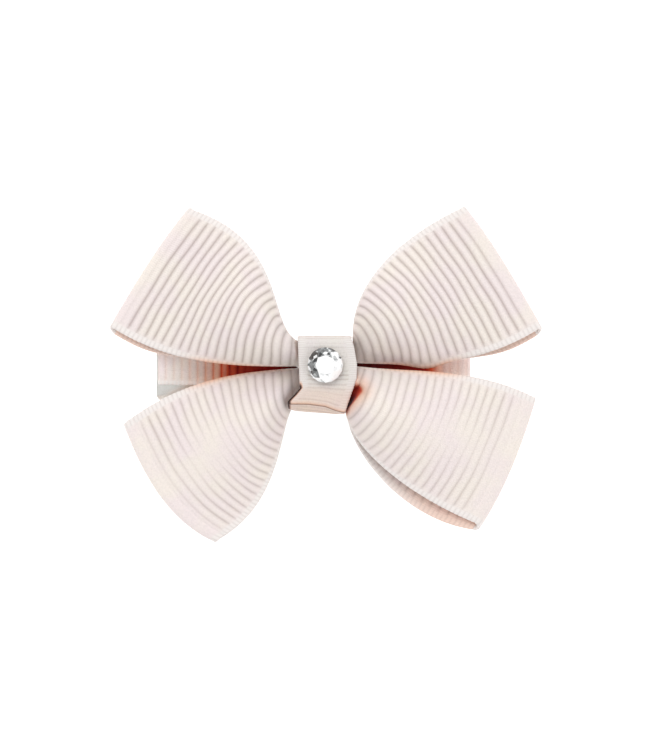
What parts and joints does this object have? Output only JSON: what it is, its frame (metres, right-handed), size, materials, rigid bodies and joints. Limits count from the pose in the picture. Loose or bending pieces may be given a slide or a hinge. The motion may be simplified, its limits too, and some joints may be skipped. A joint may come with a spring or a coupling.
{
  "type": "hair bow",
  "caption": "Hair bow of two crossed grosgrain loops with a centre wrap and a round crystal, glued to a ribbon-lined spring alligator clip that opens when its tabs are pinched.",
  "frame": {"origin": "centre of the whole bow in plan, on the plane that the clip's flat lower jaw lies on", "axes": "+Z out of the bow's face, +X along the clip from its finger tabs to its jaw tip, +Y across the clip towards the upper lobes"},
  "size_m": [0.0501, 0.0388, 0.0151],
  "materials": {
    "grosgrain": "ribbed matte with a soft sheen",
    "nickel": "bright nickel plate",
    "pin_steel": "plated, satin",
    "spring_steel": "drawn wire",
    "thread": "matte",
    "glue": "satin, translucent",
    "crystal": "polished facets",
    "foil": "mirror"
  },
  "bodies": {
    "lower_lever": {"lower_jaw": "nickel", "torsion_spring": "spring_steel"},
    "upper_lever_with_bow": {"upper_lever": "nickel", "hinge_pin": "pin_steel", "lever_lining_ribbon": "grosgrain", "rear_loop_ribbon": "grosgrain", "front_loop_ribbon": "grosgrain", "waist_thread": "thread", "centre_wrap_ribbon": "grosgrain", "bow_glue_pad": "glue", "wrap_glue_pad": "glue", "stone_glue": "glue", "crystal_foil": "foil", "crystal": "crystal"}
  },
  "joints": [
    {"name": "clip_hinge", "type": "hinge", "parent": "lower_lever", "child": "upper_lever_with_bow", "pos_m": [-0.011, 0.0013, 0.00215], "axis": [0, -1, 0], "range_deg": [0, 28], "stiffness_Nm_per_rad": 0.033, "springref_deg": -1.72, "deforming": ["torsion_spring"]}
  ]
}
